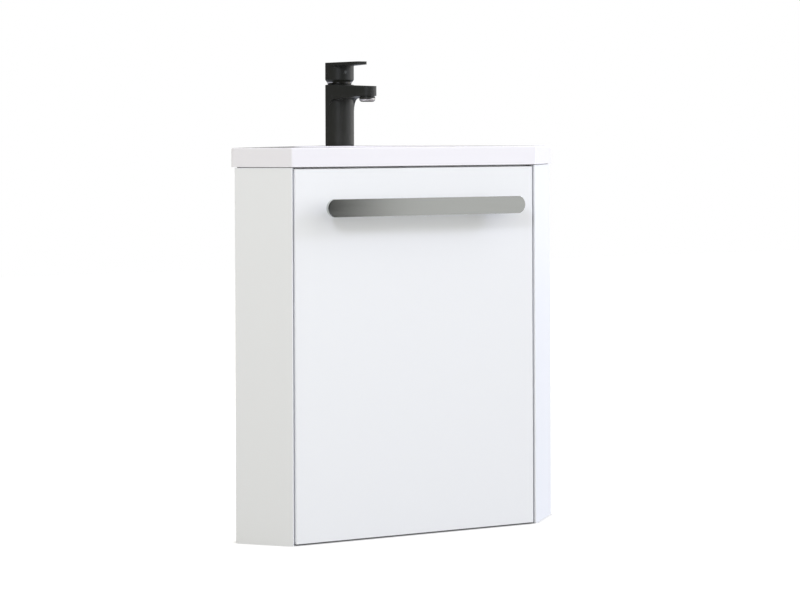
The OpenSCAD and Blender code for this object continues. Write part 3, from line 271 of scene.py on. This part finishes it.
def smooth_by_angle():
    """A modifier group that keeps edges sharp where two faces meet at more than SHARP_ANGLE."""
    group = bpy.data.node_groups.new("smooth_by_angle", "GeometryNodeTree")
    group.interface.new_socket("Geometry", in_out="INPUT", socket_type="NodeSocketGeometry")
    group.interface.new_socket("Geometry", in_out="OUTPUT", socket_type="NodeSocketGeometry")
    nodes = group.nodes
    start = nodes.new("NodeGroupInput")
    end = nodes.new("NodeGroupOutput")
    angle = nodes.new("GeometryNodeInputMeshEdgeAngle")
    over = nodes.new("FunctionNodeCompare")
    over.inputs["B"].default_value = SHARP_ANGLE
    sharp = nodes.new("GeometryNodeSetShadeSmooth")
    sharp.domain = "EDGE"
    sharp.inputs["Shade Smooth"].default_value = False
    group.links.new(angle.outputs["Unsigned Angle"], over.inputs["A"])
    group.links.new(start.outputs[0], sharp.inputs["Geometry"])
    group.links.new(over.outputs["Result"], sharp.inputs["Selection"])
    group.links.new(sharp.outputs["Geometry"], end.inputs[0])
    return group


SMOOTH_GROUP = smooth_by_angle()


def dress(node, node_name, slot):
    """Material, shared points joined, soft edges and smooth round faces for one solid."""
    node.data.materials.clear()
    node.data.materials.append(MATERIALS[FINISHES.get(node_name, slot)])
    node.data.polygons.foreach_set("use_smooth", [True] * len(node.data.polygons))
    node.modifiers.new("weld", "WELD").merge_threshold = WELD_REACH
    bevel = node.modifiers.new("soft edges", "BEVEL")
    bevel.width = BEVELS.get(slot, BEVEL_SMALL)
    bevel.segments = BEVEL_SEGMENTS
    bevel.limit_method = "ANGLE"
    bevel.angle_limit = BEVEL_ANGLE
    node.modifiers.new("sharp edges", "NODES").node_group = SMOOTH_GROUP
    node.modifiers.new("flat faces", "WEIGHTED_NORMAL").keep_sharp = True


def aim(obj, target):
    """Turns a lamp towards a point."""
    way = Vector(target) - obj.location
    obj.rotation_euler = way.to_track_quat("-Z", "Y").to_euler()


def add_lamp(name, way, far, side, power, tint):
    """A square lamp that shines on LAMP_AIM from one direction."""
    data = bpy.data.lights.new(name, "AREA")
    data.shape = "SQUARE"
    data.size = side
    data.energy = power
    data.color = tint
    lamp = bpy.data.objects.new(name, data)
    bpy.context.scene.collection.objects.link(lamp)
    lamp.location = Vector(LAMP_AIM) + Vector(way).normalized() * far
    aim(lamp, LAMP_AIM)


def add_camera():
    """The photograph's camera: turned to the right, slightly rolled, and shifted instead of tilted."""
    data = bpy.data.cameras.new("camera")
    data.sensor_fit = "HORIZONTAL"
    data.sensor_width = CAMERA_SENSOR
    data.lens = CAMERA_LENS
    data.shift_y = CAMERA_SHIFT_Y
    data.clip_end = CAMERA_REACH
    camera = bpy.data.objects.new("camera", data)
    bpy.context.scene.collection.objects.link(camera)
    level = Euler((math.pi / 2, 0, -CAMERA_YAW)).to_matrix()
    camera.rotation_euler = (level @ Matrix.Rotation(CAMERA_ROLL, 3, "Z")).to_euler()
    camera.location = CAMERA_PLACE
    bpy.context.scene.camera = camera


def half_share(nodes, links, way, bearing, soft):
    """1 for the directions on a bearing's side of the world, 0 for the others, with a soft edge."""
    side = nodes.new("ShaderNodeVectorMath")
    side.operation = "DOT_PRODUCT"
    side.inputs[1].default_value = (math.cos(bearing), math.sin(bearing), 0)
    links.new(way, side.inputs[0])
    edge = nodes.new("ShaderNodeMapRange")
    edge.interpolation_type = "SMOOTHSTEP"
    edge.inputs["From Min"].default_value = -soft
    edge.inputs["From Max"].default_value = soft
    links.new(side.outputs["Value"], edge.inputs["Value"])
    return edge.outputs["Result"]


def studio_light(world, way, bright, edges, softs):
    """A background with the bright wall and, beyond each edge in turn, another one."""
    nodes = world.node_tree.nodes
    links = world.node_tree.links
    walls = []
    for (bearing, beyond), soft in zip(edges, softs):
        wall = nodes.new("ShaderNodeMix")
        wall.data_type = "RGBA"
        wall.inputs["A"].default_value = (*beyond, 1)
        links.new(half_share(nodes, links, way, math.radians(bearing), soft), wall.inputs["Factor"])
        if walls:
            links.new(walls[-1].outputs["Result"], wall.inputs["B"])
        else:
            wall.inputs["B"].default_value = (*bright, 1)
        walls.append(wall)
    light = nodes.new("ShaderNodeBackground")
    links.new(walls[-1].outputs["Result"], light.inputs["Color"])
    return light


def dim_overhead(world, way, light):
    """Less light from above, so that faces that look up stay below white."""
    nodes = world.node_tree.nodes
    links = world.node_tree.links
    parts = nodes.new("ShaderNodeSeparateXYZ")
    links.new(way, parts.inputs[0])
    fall = nodes.new("ShaderNodeMapRange")
    fall.interpolation_type = "SMOOTHSTEP"
    fall.inputs["From Min"].default_value = OVERHEAD_START
    fall.inputs["From Max"].default_value = OVERHEAD_END
    fall.inputs["To Min"].default_value = 1.0
    fall.inputs["To Max"].default_value = OVERHEAD_LEFT
    links.new(parts.outputs["Z"], fall.inputs["Value"])
    links.new(fall.outputs["Result"], light.inputs["Strength"])


def make_world():
    """Matt surfaces are lit by one studio, glossy ones reflect another, the camera sees plain white."""
    world = bpy.data.worlds.new("studio")
    bpy.context.scene.world = world
    world.use_nodes = True
    nodes = world.node_tree.nodes
    links = world.node_tree.links
    nodes.clear()
    way = nodes.new("ShaderNodeTexCoord").outputs["Generated"]
    path = nodes.new("ShaderNodeLightPath")
    seen = nodes.new("ShaderNodeBackground")
    seen.inputs["Color"].default_value = (1, 1, 1, 1)
    matt = studio_light(world, way, MATT_BRIGHT, MATT_EDGES, MATT_SOFTS)
    dim_overhead(world, way, matt)
    gloss = studio_light(world, way, GLOSS_BRIGHT, GLOSS_EDGES, GLOSS_SOFTS)
    shown = matt.outputs[0]
    for ray, light in (("Is Glossy Ray", gloss), ("Is Camera Ray", seen)):
        join = nodes.new("ShaderNodeMixShader")
        links.new(path.outputs[ray], join.inputs[0])
        links.new(shown, join.inputs[1])
        links.new(light.outputs[0], join.inputs[2])
        shown = join.outputs[0]
    output = nodes.new("ShaderNodeOutputWorld")
    links.new(shown, output.inputs["Surface"])


def floor_material():
    """A matt floor that glows to the camera, with a painted contact shadow that dims the glow close to
    a piece, and glows dimly in reflections.
    """
    material = bpy.data.materials.new("floor")
    material.use_nodes = True
    nodes = material.node_tree.nodes
    links = material.node_tree.links
    nodes.clear()
    path = nodes.new("ShaderNodeLightPath")
    base = nodes.new("ShaderNodeBsdfDiffuse")
    base.inputs["Color"].default_value = (*FLOOR_COLOUR, 1)
    # Painted contact shadow: ambient occlusion darkens the glow near a piece
    painted_contact_shadow = nodes.new("ShaderNodeAmbientOcclusion")
    painted_contact_shadow.inputs["Distance"].default_value = CONTACT_REACH
    glow = nodes.new("ShaderNodeEmission")
    glow.inputs["Strength"].default_value = FLOOR_GLOW
    links.new(painted_contact_shadow.outputs["AO"], glow.inputs["Color"])
    in_gloss = nodes.new("ShaderNodeMath")
    in_gloss.operation = "MULTIPLY"
    in_gloss.inputs[1].default_value = FLOOR_GLOSS
    links.new(path.outputs["Is Glossy Ray"], in_gloss.inputs[0])
    reflected = nodes.new("ShaderNodeEmission")
    reflected.inputs["Color"].default_value = (*FLOOR_GLOSS_TINT, 1)
    links.new(in_gloss.outputs[0], reflected.inputs["Strength"])
    seen = nodes.new("ShaderNodeMixShader")
    links.new(path.outputs["Is Camera Ray"], seen.inputs[0])
    links.new(reflected.outputs[0], seen.inputs[1])
    links.new(glow.outputs[0], seen.inputs[2])
    both = nodes.new("ShaderNodeAddShader")
    links.new(base.outputs[0], both.inputs[0])
    links.new(seen.outputs[0], both.inputs[1])
    output = nodes.new("ShaderNodeOutputMaterial")
    links.new(both.outputs[0], output.inputs["Surface"])
    return material


def make_floor():
    """A square floor under the unit, as the scene's stage."""
    half = FLOOR_SIDE / 2
    mesh = bpy.data.meshes.new("floor")
    corners = [(-half, -half, 0), (half, -half, 0), (half, half, 0), (-half, half, 0)]
    mesh.from_pydata(corners, [], [(0, 1, 2, 3)])
    mesh.materials.append(floor_material())
    floor = bpy.data.objects.new("floor", mesh)
    bpy.context.scene.collection.objects.link(floor)


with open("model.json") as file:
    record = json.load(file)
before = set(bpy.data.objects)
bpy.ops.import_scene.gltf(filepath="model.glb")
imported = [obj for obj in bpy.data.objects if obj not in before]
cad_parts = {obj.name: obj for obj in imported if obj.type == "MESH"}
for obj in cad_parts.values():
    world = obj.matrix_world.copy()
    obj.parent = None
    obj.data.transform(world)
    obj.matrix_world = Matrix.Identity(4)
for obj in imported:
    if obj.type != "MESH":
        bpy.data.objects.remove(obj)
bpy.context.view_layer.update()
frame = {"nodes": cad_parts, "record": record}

for row in frame["record"]["subparts"]:
    dress(frame["nodes"][row["node"]], row["node"], row["material_slot"])

bpy.context.scene.view_settings.view_transform = "Standard"
add_camera()
make_world()
make_floor()
add_lamp("key", KEY_WAY, KEY_FAR, KEY_SIDE, KEY_POWER, KEY_TINT)
add_lamp("second", SECOND_WAY, SECOND_FAR, SECOND_SIDE, SECOND_POWER, SECOND_TINT)
